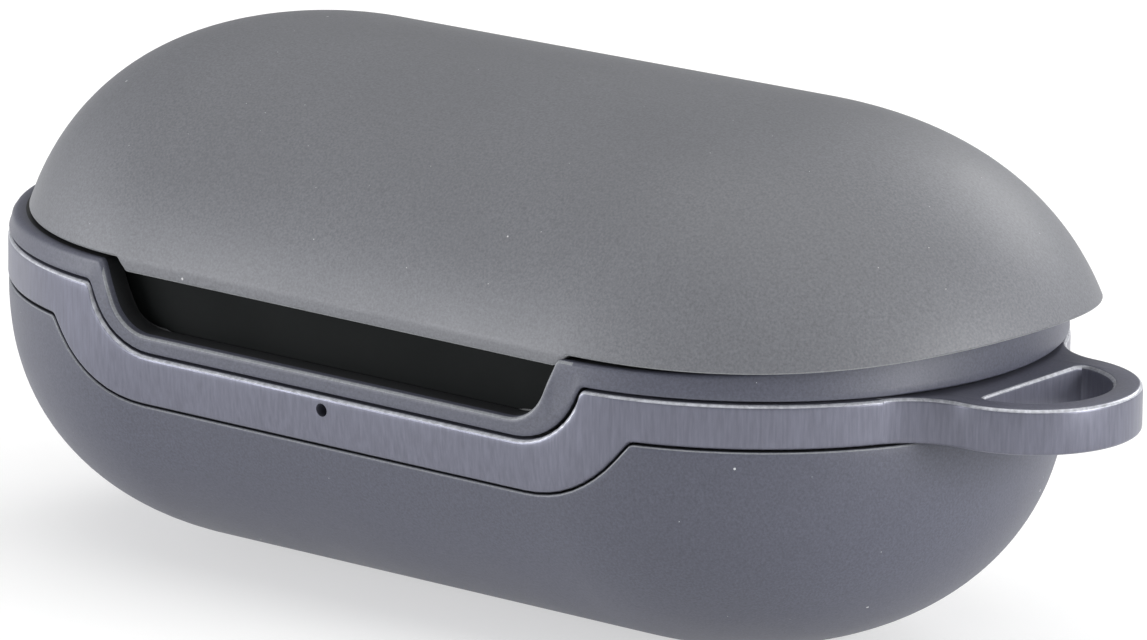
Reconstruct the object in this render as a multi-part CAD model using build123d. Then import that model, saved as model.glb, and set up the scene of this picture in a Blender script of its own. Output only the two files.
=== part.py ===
from build123d import *

import math
import os

# A pill-shaped charging case for wireless earbuds in a protective cover with a carry loop.
#
# Millimetres. X runs along the case with the carry loop at +X, the finger notch faces -Y, the
# hinge is at +Y and Z is up. The origin is the middle of the flat that the case stands on.
# Every pill-shaped piece is one (radius, height) profile: turned half a turn at each end and
# run straight between the two ends. Writes one STEP file per piece to parts/.

# ---------------------------------------------------------------- driving sizes
BODY_LENGTH = 73.0  # outside of the band, without the loop
BODY_WIDTH = 38.8
WAIST_Z = 16.0  # where the bowl meets the band at the sides
BOWL_POWER = 2.23  # superellipse power of the bowl's profile
FOOT_TRIM = 0.3  # how much of the bowl's bottom is cut away to make the flat
SLEEVE_WALL = 2.0
SLEEVE_FLOOR = 1.6
RIM_HEIGHT = 1.35
RIM_STEP = 0.06  # the rim stands back from the band by this
RIM_LEAN = 0.14  # the rim's top leans in by this
RIM_BEVEL = 0.22
BOWL_STEP = 0.05  # the bowl stands back from the band by this

BAND_HEIGHT = 3.1  # at the sides, gaps included
BAND_THICK = 1.2
BAND_GAP_TOP = 0.15
BAND_GAP_BOTTOM = 0.14
BAND_SEAT = 0.06  # clearance behind the band

NOTCH_HALF = 18.55  # half width of the finger notch at the rim's top
NOTCH_RISE = 0.8  # its floor, above the waist
NOTCH_ANGLE = 66.0
NOTCH_RADIUS = 3.0
NOTCH_LIP = 0.55  # thickness of the notch's edge, before its inside falls away
NOTCH_FALL = 38.0  # degrees
DIP_TOP_HALF = 19.8  # half width of the band's dip, at its upper edge
DIP_TOP_DROP = 0.75  # below the waist
DIP_TOP_ANGLE = 65.0
DIP_TOP_RADIUS = 5.0
DIP_BOTTOM_HALF = 22.5  # the same at its lower edge
DIP_BOTTOM_DROP = 4.3
DIP_BOTTOM_ANGLE = 50.0
DIP_BOTTOM_RADIUS = 9.0
DIP_CORNER = 0.6

LOOP_RADIUS = 6.8
LOOP_WALL = 1.8
LOOP_REACH = 1.6  # the loop's centre stands this far outside the body's end
LOOP_ROOT = 1.8  # solid band between the body's end and the hole
LOOP_FILLET = 4.5

LIGHT_HOLE_RADIUS = 0.42
LIGHT_DROP = 1.85  # the light is this far below the waist
LIGHT_X = -0.65  # and a little beside the middle of the notch

LID_GAP = 0.28  # between the rim and the lid cover
LID_INSET = 0.5  # the lid cover stands back from the band by this
LID_HEIGHT = 11.63
LID_POWER = 2.364
LID_CUT = 8.0  # the lid is the part of a superellipse that lies this far above its middle
LID_SKIRT = 0.9  # how far the curve is run on below the lid's edge before it is trimmed
LID_WALL = 1.3
LID_NOSE = 1.208  # stretch of the end over the loop, which sticks out as a lip
LID_NOSE_INSIDE = 1.08
LID_HEEL = 0.936  # stretch of the other end
LID_SLOPE = 0.63  # degrees that the lid's top rises towards the loop
TAB_SHIFT = 0.15
TAB_HALF = 16.9
TAB_DROP = 0.79
TAB_SLOPE = 0.8

END_WALL = 3.2  # from the band's end to the end of the charging case inside
CASE_GAP = 0.1
CASE_WALL = 1.2
CASE_BOTTOM = 2.6  # the moulded floor under the charging coil
SEAM_DROP = 0.05  # the case's own seam lies this far below the rim's top
SEAM_GAP = 0.25
LID_SHELL_WALL = 1.1
LID_SHELL_GAP = 0.15

TRAY_DROP = 0.1
TRAY_PLATE = 1.0
TRAY_GAP = 0.12
WELL_SHIFT = 0.2  # the wells' centres, inwards from the centres of the case's ends
WELL_RADIUS = 9.0
WELL_DEPTH = 7.9
WELL_WALL = 0.8
LINER_RISE = 0.2
LINER_PLATE = 0.8
CUP_RADIUS = 9.1
CUP_SHARE = 0.687  # height of the cups over the earbuds, as a share of the lid's inside

BUD_RADIUS = 8.5
BUD_LIFT = 1.2  # how far an earbud can rise under the shut lid
BUD_LOW = 4.3  # the bud's body below its widest line
BUD_POWER = 2.8
BUD_SEAT = 4.0  # the body's underside, above the well's floor
CAP_RADIUS = 5.6
CAP_THICK = 0.7
NOZZLE_RADIUS = 2.3
NOZZLE_SHIFT = 2.6
NOZZLE_ANGLE = 18.0
NOZZLE_ROOT = 0.6  # the nozzle starts this far inside the body
NOZZLE_LENGTH = 2.9
NOZZLE_WALL = 0.4
TIP_RADIUS = 4.3
TIP_START = 1.1  # the tip's skirt, measured along the nozzle
TIP_HEIGHT = 2.6
TIP_WALL = 0.5
TIP_CROWN = 0.9  # thickness of the tip's end
TIP_COLLAR = 0.6  # the collar round the nozzle starts this far inside the skirt
MESH_DEPTH = 0.6
MESH_THICK = 0.25

COIL_RADIUS = 8.0
COIL_HOLE = 3.6
COIL_THICK = 0.5
SHIELD_THICK = 0.4
SHIELD_MARGIN = 0.4
BATTERY_LENGTH = 34.0
BATTERY_WIDTH = 17.0
BATTERY_ROUND = 0.35  # rounding of the cell's long edges, as a share of its thickness
BOARD_THICK = 0.8
BOARD_MARGIN = 3.2
BOARD_SHORT = 1.5
CHIP = (5.0, 5.0, 0.9)
CHIP_SHIFT = 0.2

PORT_WIDTH = 8.94  # outside of the charging socket
PORT_DEPTH = 7.3
PORT_HEIGHT = 3.2
PORT_WALL = 0.3
PORT_RECESS = 1.0  # from the case's surface to the socket's mouth
TONGUE = (6.69, 5.0, 0.7)
PLUG_WIDTH = 12.6  # hole in the sleeve for the plug's grip
PLUG_HEIGHT = 6.6

PIN_RADIUS = 0.55
PIN_FIT = 0.05
PIN_PITCH = 3.4
PIN_SHIFT = 4.6  # from the well's axis towards the middle of the case
PIN_PROUD = 0.8
PIN_LENGTH = 4.0
PIN_BLOCK_LENGTH = 6.2
PIN_BLOCK_WIDTH = 2.6
PIN_BLOCK_RISE = 3.0  # above the well's floor
PAD_RADIUS = 0.75
PAD_THICK = 0.8
PAD_GAP = 0.1

CATCH_X = 6.5
CATCH_INSET = 3.9
CATCH_RADIUS = 1.6
CATCH_THICK = 1.5
CATCH_WALL = 0.5
BUMPER_X = 11.0
BUMPER_INSET = 1.5
BUMPER_RADIUS = 0.9

BARREL_RADIUS = 0.8
HINGE_PIN_RADIUS = 0.4
HINGE_FIT = 0.05
KNUCKLE_OUT = (10.2, 14.2)
KNUCKLE_IN = (5.8, 9.9)
HINGE_CUT_HALF = 15.0
SLEEVE_CUT_HALF = 23.0
HINGE_CUT_RISE = 2.1
ARM_DROP = 1.1

SCREW_ANGLE = 25.5  # the screws' places, seen from the centre of the case's end
SCREW_INSET = 2.15
SCREW_RADIUS = 0.6
SCREW_LENGTH = 5.0
SCREW_HEAD_RADIUS = 1.1
SCREW_HEAD_THICK = 0.5
SCREW_SLOT = 0.4
BOSS_RADIUS = 1.5
BOSS_DEPTH = 12.0
POST_RADIUS = 1.2
FIT = 0.1  # general clearance between parts that are only placed together

FAR = 60.0  # longer than anything here

# ---------------------------------------------------------------- sizes that follow
BODY_RADIUS = BODY_WIDTH / 2
BODY_HALF = BODY_LENGTH / 2 - BODY_RADIUS  # from the middle to the centre of an end
BAND_TOP_Z = WAIST_Z + BAND_HEIGHT
BAND_LOW_Z = WAIST_Z + BAND_GAP_BOTTOM
BAND_HIGH_Z = BAND_TOP_Z - BAND_GAP_TOP
RIM_TOP_Z = BAND_TOP_Z + RIM_HEIGHT
NOTCH_Z = WAIST_Z + NOTCH_RISE
DIP_TOP_Z = WAIST_Z - DIP_TOP_DROP
DIP_BOTTOM_Z = WAIST_Z - DIP_BOTTOM_DROP
LIGHT_Z = WAIST_Z - LIGHT_DROP
CHANNEL_RADIUS = BODY_RADIUS - BAND_THICK - BAND_SEAT
LOOP_X = BODY_LENGTH / 2 + LOOP_REACH

CASE_RADIUS = BODY_RADIUS - SLEEVE_WALL - CASE_GAP
CASE_HALF = BODY_LENGTH / 2 - END_WALL - CASE_RADIUS
CASE_BOTTOM_Z = SLEEVE_FLOOR + CASE_GAP
CASE_FLOOR_Z = CASE_BOTTOM_Z + CASE_BOTTOM
CASE_SEAM_Z = RIM_TOP_Z - SEAM_DROP
CAVITY_RADIUS = CASE_RADIUS - CASE_WALL
CAVITY_DEPTH = WAIST_Z - CASE_BOTTOM_Z - CASE_WALL

LID_Z = RIM_TOP_Z + LID_GAP
LID_RADIUS = BODY_RADIUS - LID_INSET
LID_HALF = BODY_HALF
LID_SHELL_Z = CASE_SEAM_Z + SEAM_GAP
LID_SHELL_HEIGHT = LID_Z + LID_HEIGHT - LID_WALL - LID_SHELL_GAP - LID_SHELL_Z
LID_CAVITY_RADIUS = CASE_RADIUS - LID_SHELL_WALL
LID_CAVITY_HEIGHT = LID_SHELL_HEIGHT - LID_SHELL_WALL
LINER_Z = LID_SHELL_Z + LINER_RISE
LINER_TOP_Z = LINER_Z + LINER_PLATE
CUP_TOP_Z = LINER_Z + CUP_SHARE * LID_CAVITY_HEIGHT

TRAY_TOP_Z = CASE_SEAM_Z - TRAY_DROP
TRAY_LOW_Z = TRAY_TOP_Z - TRAY_PLATE
WELL_X = CASE_HALF - WELL_SHIFT
WELL_FLOOR_Z = TRAY_TOP_Z - WELL_DEPTH

COIL_Z = CASE_FLOOR_Z + FIT
SHIELD_Z = COIL_Z + COIL_THICK
BATTERY_Z = SHIELD_Z + SHIELD_THICK + FIT
BOARD_TOP_Z = WELL_FLOOR_Z - WELL_WALL - FIT - CHIP[2]
BOARD_Z = BOARD_TOP_Z - BOARD_THICK
BATTERY_THICK = BOARD_Z - FIT - BATTERY_Z  # the cell takes up the room that is left
CHIP_X = WELL_X + CHIP_SHIFT
BOARD_RADIUS = CAVITY_RADIUS - BOARD_MARGIN
BOARD_HALF = CASE_HALF - BOARD_SHORT
PORT_Z = BOARD_TOP_Z + PORT_HEIGHT / 2
PORT_MOUTH_Y = CASE_RADIUS - PORT_RECESS

BUD_LOW_Z = WELL_FLOOR_Z + BUD_SEAT
BUD_WAIST_Z = BUD_LOW_Z + BUD_LOW
BUD_HIGH = CUP_TOP_Z - WELL_WALL - BUD_LIFT - PIN_FIT - BUD_WAIST_Z
PIN_BLOCK_Z = WELL_FLOOR_Z + PIN_BLOCK_RISE
PIN_TOP_Z = PIN_BLOCK_Z + PIN_PROUD
PAD_Z = PIN_TOP_Z + PAD_GAP
HINGE_Y = BODY_RADIUS - BARREL_RADIUS
HINGE_Z = CASE_SEAM_Z + SEAM_GAP / 2
CATCH_Y = -(CAVITY_RADIUS - CATCH_INSET)
BUMPER_Y = -(CAVITY_RADIUS - BUMPER_INSET)
SCREW_REACH = CAVITY_RADIUS - SCREW_INSET
SCREW_X = CASE_HALF + SCREW_REACH * math.cos(math.radians(SCREW_ANGLE))
SCREW_Y = SCREW_REACH * math.sin(math.radians(SCREW_ANGLE))
CORNERS = [(x, y) for x in (-1, 1) for y in (-1, 1)]

parts = {}


# ---------------------------------------------------------------- shared shapes
def oval(radius, height, power, steps=9):
    """Points of a quarter superellipse from (radius, 0) to (0, height)."""
    points = []
    for i in range(steps + 1):
        angle = i / steps * math.pi / 2
        across = radius * max(math.cos(angle), 0.0) ** (2 / power)
        along = height * max(math.sin(angle), 0.0) ** (2 / power)
        points.append((across, along))
    points[-1] = (0.0, height)
    return points


def profile_face(edges):
    """The face inside a closed chain of (radius, height) edges, standing on the XZ plane."""
    return Plane.XZ * make_face(Wire(edges).edges())


def pill(face, half):
    """Turns a profile half a turn at each end of the pill and runs it straight between them."""
    end = Pos(half, 0, 0) * Rot(0, 0, -90) * revolve(face, Axis.Z, 180)
    side = extrude(Pos(-half, 0, 0) * Rot(0, 0, -90) * face, amount=2 * half, dir=(1, 0, 0))
    return end + side + mirror(side, Plane.XZ) + mirror(end, Plane.YZ)


def bowl(radius, depth, half, top_z, power=BOWL_POWER, floor_z=None):
    """A solid bowl hanging from the waist, closed upwards as a straight wall to top_z."""
    curve = [(across, WAIST_Z - along) for across, along in oval(radius, depth, power)]
    wall = Spline(*curve, tangents=[(0, -1), (-1, 0)])
    bottom = curve[-1]
    edges = [
        wall,
        Line(bottom, (0, top_z)),
        Line((0, top_z), (radius, top_z)),
        Line((radius, top_z), curve[0]),
    ]
    solid = pill(profile_face(edges), half)
    if floor_z is not None:
        solid &= slab(floor_z, FAR)
    return solid


def dome(radius, height, half, base_z, heel=1.0, nose=1.0, slope=0.0):
    """A solid dome on base_z, the top part of a superellipse.

    heel and nose stretch its ends along X, and slope tilts it up towards +X.
    """
    tall = height + LID_CUT
    wide = radius / (1 - (LID_CUT / tall) ** LID_POWER) ** (1 / LID_POWER)
    low = math.asin(((LID_CUT - LID_SKIRT) / tall) ** (LID_POWER / 2))
    curve = []
    steps = 12
    for i in range(steps + 1):
        angle = low + (math.pi / 2 - low) * i / steps
        across = wide * max(math.cos(angle), 0.0) ** (2 / LID_POWER)
        curve.append((across, tall * math.sin(angle) ** (2 / LID_POWER) - LID_CUT))
    curve[-1] = (0.0, height)
    edges = [
        Spline(*curve),
        Line(curve[-1], (0, curve[0][1])),
        Line((0, curve[0][1]), curve[0]),
    ]
    face = profile_face(edges)
    end = Rot(0, 0, -90) * revolve(face, Axis.Z, 180)
    side = extrude(Pos(-half, 0, 0) * Rot(0, 0, -90) * face, amount=2 * half, dir=(1, 0, 0))
    shape = Pos(half, 0, 0) * scale(end, by=(nose, 1, 1)) + side + mirror(side, Plane.XZ)
    shape += Pos(-half, 0, 0) * mirror(scale(end, by=(heel, 1, 1)), Plane.YZ)
    return Pos(0, 0, base_z) * Rot(0, -slope, 0) * shape & slab(base_z, FAR)


def slab(low_z, high_z):
    """Everything between two heights."""
    return Pos(0, 0, (low_z + high_z) / 2) * Box(4 * FAR, 4 * FAR, high_z - low_z)


def block(low, high):
    """A box between two corners."""
    size = [h - l for l, h in zip(low, high)]
    middle = [(l + h) / 2 for l, h in zip(low, high)]
    return Pos(*middle) * Box(*size)


def rod(radius, low_z, high_z, x=0.0, y=0.0):
    """An upright cylinder."""
    return Pos(x, y, (low_z + high_z) / 2) * Cylinder(radius, high_z - low_z)


def crosswise_rod(radius, low_x, high_x, y, z):
    """A cylinder along X."""
    return Pos((low_x + high_x) / 2, y, z) * Rot(0, 90, 0) * Cylinder(radius, high_x - low_x)


def both_sides(shape):
    """A shape and its mirror image on the other side of X = 0."""
    return shape + mirror(shape, Plane.YZ)


def pill_plate(radius, half, low_z, high_z):
    """An upright block with a pill-shaped outline."""
    outline = Pos(0, 0, low_z) * SlotOverall(2 * (half + radius), 2 * radius)
    return extrude(outline, amount=high_z - low_z, dir=(0, 0, 1))


def outlined(points, radii, low_y, high_y, taper=0.0):
    """A closed outline in X and Z with rounded corners, run from low_y to high_y."""
    wire = FilletPolyline(*points, radius=radii, close=True)
    face = Plane((0, low_y, 0), x_dir=(1, 0, 0), z_dir=(0, -1, 0)) * make_face(wire.edges())
    return extrude(face, amount=high_y - low_y, dir=(0, 1, 0), taper=taper)


def above_dip(half, side_z, front_z, angle, radius, lift=0.0):
    """Everything above a level line that dips at the front, between the two end domes.

    lift moves the whole line up, and narrows the dip so that its slopes move as far.
    """
    run = (side_z - front_z) / math.tan(math.radians(angle))
    inset = lift * math.tan(math.radians(angle / 2))
    corner_x, bottom_x = half - inset, half - inset - run
    high = side_z + lift
    low = front_z + lift
    points = [
        (-FAR, FAR), (-FAR, high), (-corner_x, high), (-bottom_x, low),
        (bottom_x, low), (corner_x, high), (FAR, high), (FAR, FAR),
    ]
    radii = [DIP_CORNER, DIP_CORNER, DIP_CORNER, radius, radius, DIP_CORNER, DIP_CORNER, DIP_CORNER]
    front = outlined(points, radii, -FAR, 0)
    back = block((-FAR, 0, high), (FAR, FAR, FAR))
    return front + back


def above_band(lift=0.0):
    """Everything above the line where the rim ends and the band begins."""
    return above_dip(DIP_TOP_HALF, BAND_TOP_Z, DIP_TOP_Z, DIP_TOP_ANGLE, DIP_TOP_RADIUS, lift)


def above_bowl(lift=0.0):
    """Everything above the line where the bowl ends and the band begins."""
    return above_dip(
        DIP_BOTTOM_HALF, WAIST_Z, DIP_BOTTOM_Z, DIP_BOTTOM_ANGLE, DIP_BOTTOM_RADIUS, lift
    )


def slot_bar(width, height, low_y, high_y, z):
    """A bar with round ends, running along Y."""
    plane = Plane((0, low_y, z), x_dir=(1, 0, 0), z_dir=(0, -1, 0))
    face = plane * SlotOverall(width, height)
    return extrude(face, amount=high_y - low_y, dir=(0, 1, 0))


def envelope(inset=0.0):
    """The outside of the body, from the standing face to the top of the rim."""
    depth = WAIST_Z + FOOT_TRIM - inset
    return bowl(BODY_RADIUS - inset, depth, BODY_HALF, RIM_TOP_Z, floor_z=0.0)


# ---------------------------------------------------------------- the protective cover
def base_sleeve():
    """The soft sleeve: bowl below, a channel for the band, and the rim above it."""
    rim_radius = BODY_RADIUS - RIM_STEP
    depth = WAIST_Z + FOOT_TRIM - RIM_STEP
    curve = [(across, WAIST_Z - along) for across, along in oval(rim_radius, depth, BOWL_POWER)]
    top = rim_radius - RIM_LEAN
    edges = [
        Spline(*curve, tangents=[(0, -1), (-1, 0)]),
        Line(curve[-1], (0, RIM_TOP_Z)),
        Line((0, RIM_TOP_Z), (top - RIM_BEVEL, RIM_TOP_Z)),
        Line((top - RIM_BEVEL, RIM_TOP_Z), (top, RIM_TOP_Z - RIM_BEVEL)),
        Line((top, RIM_TOP_Z - RIM_BEVEL), (rim_radius, BAND_TOP_Z)),
        Line((rim_radius, BAND_TOP_Z), curve[0]),
    ]
    rim = pill(profile_face(edges), BODY_HALF) & above_band()
    lower = envelope(BOWL_STEP) - above_bowl()
    core = envelope(BODY_RADIUS - CHANNEL_RADIUS)
    sleeve = rim + lower + core
    sleeve -= bowl(
        CASE_RADIUS + CASE_GAP, WAIST_Z - SLEEVE_FLOOR, CASE_HALF, RIM_TOP_Z + 1
    )
    sleeve -= notch()
    sleeve -= slot_bar(PLUG_WIDTH, PLUG_HEIGHT, CASE_RADIUS - 2, BODY_RADIUS + 2, PORT_Z)
    sleeve -= block(
        (-SLEEVE_CUT_HALF, 0, BAND_TOP_Z), (SLEEVE_CUT_HALF, FAR, RIM_TOP_Z + 1)
    )
    sleeve -= Pos(LIGHT_X, -CASE_RADIUS, LIGHT_Z) * Rot(90, 0, 0) * Cylinder(2 * LIGHT_HOLE_RADIUS, 8)
    return sleeve


def notch():
    """The cut for a fingertip at the front of the rim. Its inside falls away from a thin edge."""
    run = (RIM_TOP_Z - NOTCH_Z) / math.tan(math.radians(NOTCH_ANGLE))
    low_half = NOTCH_HALF - run
    high_half = low_half + 2 * run
    high_z = 2 * RIM_TOP_Z - NOTCH_Z
    points = [
        (-high_half, high_z), (-low_half, NOTCH_Z), (low_half, NOTCH_Z), (high_half, high_z),
    ]
    radii = [DIP_CORNER, NOTCH_RADIUS, NOTCH_RADIUS, DIP_CORNER]
    front = -BODY_RADIUS - 1
    edge = -BODY_RADIUS + RIM_STEP + NOTCH_LIP
    inside = -CASE_RADIUS + 1
    through = outlined(points, radii, front, inside)
    return through + outlined(points, radii, edge, inside, taper=-NOTCH_FALL)


def carry_band():
    """The hard band in the sleeve's channel, with the carry loop and the light hole."""
    ring = envelope() - envelope(BAND_THICK) - slab(BAND_HIGH_Z, FAR)
    ring -= above_band(-BAND_GAP_TOP)
    ring &= above_bowl(BAND_GAP_BOTTOM)
    body = Pos(0, 0, BAND_LOW_Z) * SlotOverall(BODY_LENGTH, BODY_WIDTH)
    outline = body + Pos(LOOP_X, 0, BAND_LOW_Z) * Circle(LOOP_RADIUS)
    corners = outline.vertices().filter_by(lambda v: v.X > BODY_LENGTH / 2 - LOOP_RADIUS)
    outline = fillet(corners, LOOP_FILLET)
    loop = extrude(outline, amount=BAND_HIGH_Z - BAND_LOW_Z, dir=(0, 0, 1))
    hole_x = BODY_LENGTH / 2 + LOOP_ROOT
    hole = rod(LOOP_RADIUS - LOOP_WALL, 0, FAR, LOOP_X) & block((hole_x, -FAR, 0), (FAR, FAR, FAR))
    loop -= hole
    loop -= envelope(BAND_THICK)
    loop &= block((BODY_LENGTH / 2 - LOOP_RADIUS, -FAR, 0), (FAR, FAR, FAR))
    band = ring + loop
    band -= Pos(LIGHT_X, -BODY_RADIUS, LIGHT_Z) * Rot(90, 0, 0) * Cylinder(LIGHT_HOLE_RADIUS, 6)
    return band


def lid_cover():
    """The domed cover of the lid, with a tab that hangs into the finger notch."""
    outer = dome(LID_RADIUS, LID_HEIGHT, LID_HALF, LID_Z, LID_HEEL, LID_NOSE, LID_SLOPE)
    inner = dome(
        LID_RADIUS - LID_WALL, LID_HEIGHT - LID_WALL, LID_HALF, LID_Z, LID_HEEL, LID_NOSE_INSIDE
    )
    tab_low = LID_Z - TAB_DROP
    points = [
        (TAB_SHIFT - TAB_HALF - TAB_SLOPE, LID_Z), (TAB_SHIFT - TAB_HALF, tab_low),
        (TAB_SHIFT + TAB_HALF, tab_low), (TAB_SHIFT + TAB_HALF + TAB_SLOPE, LID_Z),
    ]
    face = make_face(Polyline(*points, close=True).edges())
    plane = Plane((0, -LID_RADIUS, 0), x_dir=(1, 0, 0), z_dir=(0, -1, 0))
    tab = extrude(plane * face, amount=LID_WALL, dir=(0, 1, 0))
    tab &= pill_plate(LID_RADIUS, LID_HALF, 0, LID_Z)
    cover = outer - inner + tab
    cover -= block(
        (-HINGE_CUT_HALF, CASE_RADIUS - 2, LID_Z - 1), (HINGE_CUT_HALF, FAR, LID_Z + HINGE_CUT_RISE)
    )
    return cover


# ---------------------------------------------------------------- the charging case
def knuckles(low_x, high_x, low_z, high_z):
    """Hinge knuckles at +X and -X, each on an arm that reaches into the case's wall."""
    barrel = crosswise_rod(BARREL_RADIUS, low_x, high_x, HINGE_Y, HINGE_Z)
    arm = block((low_x, CASE_RADIUS - CASE_WALL / 2, low_z), (high_x, HINGE_Y, high_z))
    bore = crosswise_rod(HINGE_PIN_RADIUS + HINGE_FIT, 0, FAR, HINGE_Y, HINGE_Z)
    return both_sides(barrel + arm - bore)


def case_shell():
    """The charging case's lower shell with its screw bosses, board posts and knuckles."""
    outer = bowl(CASE_RADIUS, WAIST_Z - CASE_BOTTOM_Z, CASE_HALF, CASE_SEAM_Z)
    cavity = bowl(CAVITY_RADIUS, CAVITY_DEPTH, CASE_HALF, CASE_SEAM_Z + 1, floor_z=CASE_FLOOR_Z)
    studs = []
    for side_x, side_y in CORNERS:
        x, y = side_x * SCREW_X, side_y * SCREW_Y
        studs.append(rod(BOSS_RADIUS, TRAY_LOW_Z - BOSS_DEPTH, TRAY_LOW_Z, x, y))
        x, y = side_x * (BATTERY_LENGTH / 2 + 2 * POST_RADIUS), side_y * BOARD_RADIUS / 2
        studs.append(rod(POST_RADIUS, CASE_FLOOR_Z, BOARD_Z, x, y))
    shell = outer - cavity
    for stud in studs:
        shell += stud & outer
    for side_x, side_y in CORNERS:
        x, y = side_x * SCREW_X, side_y * SCREW_Y
        depth = TRAY_LOW_Z - SCREW_LENGTH - FIT
        shell -= rod(SCREW_RADIUS + PIN_FIT, depth, TRAY_TOP_Z, x, y)
    shell -= slot_bar(
        PORT_WIDTH + 2 * FIT, PORT_HEIGHT + 2 * FIT, CAVITY_RADIUS - 4, CASE_RADIUS + 1, PORT_Z
    )
    shell -= light_rod(LIGHT_HOLE_RADIUS * 2 + PIN_FIT, CAVITY_RADIUS - 2, CASE_RADIUS + 1)
    shell += knuckles(*KNUCKLE_OUT, HINGE_Z - ARM_DROP, CASE_SEAM_Z)
    return shell


def light_rod(radius, inner_y, outer_y):
    """A cylinder on the status light's axis, between two distances in front of the middle."""
    middle = Pos(LIGHT_X, -(inner_y + outer_y) / 2, LIGHT_Z)
    return middle * Rot(90, 0, 0) * Cylinder(radius, outer_y - inner_y)


def lid_shell():
    """The charging case's lid with its two knuckles."""
    outer = dome(CASE_RADIUS, LID_SHELL_HEIGHT, CASE_HALF, LID_SHELL_Z)
    inner = dome(LID_CAVITY_RADIUS, LID_CAVITY_HEIGHT, CASE_HALF, LID_SHELL_Z)
    arms = knuckles(*KNUCKLE_IN, LID_SHELL_Z, HINGE_Z + ARM_DROP)
    return outer - inner + arms


def lid_liner():
    """The plate inside the lid, with a cup over each earbud and seats for the magnets."""
    plate = pill_plate(LID_CAVITY_RADIUS - TRAY_GAP, CASE_HALF, LINER_Z, LINER_TOP_Z)
    room = dome(LID_CAVITY_RADIUS - TRAY_GAP, LID_CAVITY_HEIGHT, CASE_HALF, LID_SHELL_Z)
    plate &= room
    seats = magnet_seat(LINER_TOP_Z, LINER_TOP_Z + CATCH_THICK)
    cups = rod(CUP_RADIUS + WELL_WALL, LINER_Z, CUP_TOP_Z, WELL_X)
    hollow = rod(CUP_RADIUS, LINER_Z - 1, CUP_TOP_Z - WELL_WALL, WELL_X)
    return plate + both_sides(cups) + seats - both_sides(hollow)


def magnet_seat(low_z, high_z):
    """Rings that hold a pair of catch magnets."""
    ring = rod(CATCH_RADIUS + PIN_FIT + CATCH_WALL, low_z, high_z, CATCH_X, CATCH_Y)
    ring -= rod(CATCH_RADIUS + PIN_FIT, low_z, high_z, CATCH_X, CATCH_Y)
    return both_sides(ring)


def cradle():
    """The tray that the earbuds lie in: a plate with two wells, screwed to the lower shell."""
    plate = pill_plate(CAVITY_RADIUS - TRAY_GAP, CASE_HALF, TRAY_LOW_Z, TRAY_TOP_Z)
    wells = rod(WELL_RADIUS + WELL_WALL, WELL_FLOOR_Z - WELL_WALL, TRAY_TOP_Z, WELL_X)
    hollow = rod(WELL_RADIUS, WELL_FLOOR_Z, FAR, WELL_X)
    hollow = chamfer_mouth(hollow)
    tray = plate + both_sides(wells) + magnet_seat(TRAY_LOW_Z - CATCH_THICK, TRAY_LOW_Z)
    tray -= both_sides(hollow)
    tray -= both_sides(pin_block_body(FIT))
    for side_x, side_y in CORNERS:
        x, y = side_x * SCREW_X, side_y * SCREW_Y
        tray -= rod(SCREW_RADIUS + FIT, TRAY_LOW_Z - 1, TRAY_TOP_Z + 1, x, y)
        head_z = TRAY_TOP_Z - SCREW_HEAD_THICK
        tray -= rod(SCREW_HEAD_RADIUS + FIT, head_z, TRAY_TOP_Z + 1, x, y)
    return tray


def chamfer_mouth(hollow):
    """Widens a well's hollow at the tray's top."""
    return hollow + Pos(WELL_X, 0, TRAY_TOP_Z) * Cone(WELL_RADIUS, WELL_RADIUS + 1.2, 1.2)


def pin_block_body(spread=0.0):
    """The block that guides one pair of charging pins."""
    half_x = PIN_BLOCK_WIDTH / 2 + spread
    half_y = PIN_BLOCK_LENGTH / 2 + spread
    x = WELL_X - PIN_SHIFT
    return block((x - half_x, -half_y, BOARD_TOP_Z), (x + half_x, half_y, PIN_BLOCK_Z))


def at_pins(radius, low_z, high_z):
    """A pair of upright cylinders in the +X well's pin places."""
    x = WELL_X - PIN_SHIFT
    return rod(radius, low_z, high_z, x, -PIN_PITCH / 2) + rod(radius, low_z, high_z, x, PIN_PITCH / 2)


def charging_pins():
    """The +X well's two pins, round-topped, standing free of the earbud's pads."""
    pins = at_pins(PIN_RADIUS, PIN_TOP_Z - PIN_LENGTH, PIN_TOP_Z)
    tops = pins.edges().filter_by(GeomType.CIRCLE).group_by(Axis.Z)[-1]
    return Compound(fillet(tops, PIN_RADIUS / 2).solids())


def charging_socket():
    """The socket's metal shell, open at the back."""
    low_y = PORT_MOUTH_Y - PORT_DEPTH
    shell = slot_bar(PORT_WIDTH, PORT_HEIGHT, low_y, PORT_MOUTH_Y, PORT_Z)
    inner_width = PORT_WIDTH - 2 * PORT_WALL
    inner_height = PORT_HEIGHT - 2 * PORT_WALL
    return shell - slot_bar(inner_width, inner_height, low_y + PORT_WALL, PORT_MOUTH_Y + 1, PORT_Z)


def socket_tongue():
    """The contact tongue in the socket."""
    width, depth, thick = TONGUE
    low_y = PORT_MOUTH_Y - PORT_DEPTH + PORT_WALL
    low = (-width / 2, low_y, PORT_Z - thick / 2)
    return block(low, (width / 2, low_y + depth, PORT_Z + thick / 2))


def battery():
    """The flat cell."""
    low = (-BATTERY_LENGTH / 2, -BATTERY_WIDTH / 2, BATTERY_Z)
    high = (BATTERY_LENGTH / 2, BATTERY_WIDTH / 2, BATTERY_Z + BATTERY_THICK)
    cell = block(low, high)
    return fillet(cell.edges().filter_by(Axis.X), BATTERY_ROUND * BATTERY_THICK)


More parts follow.
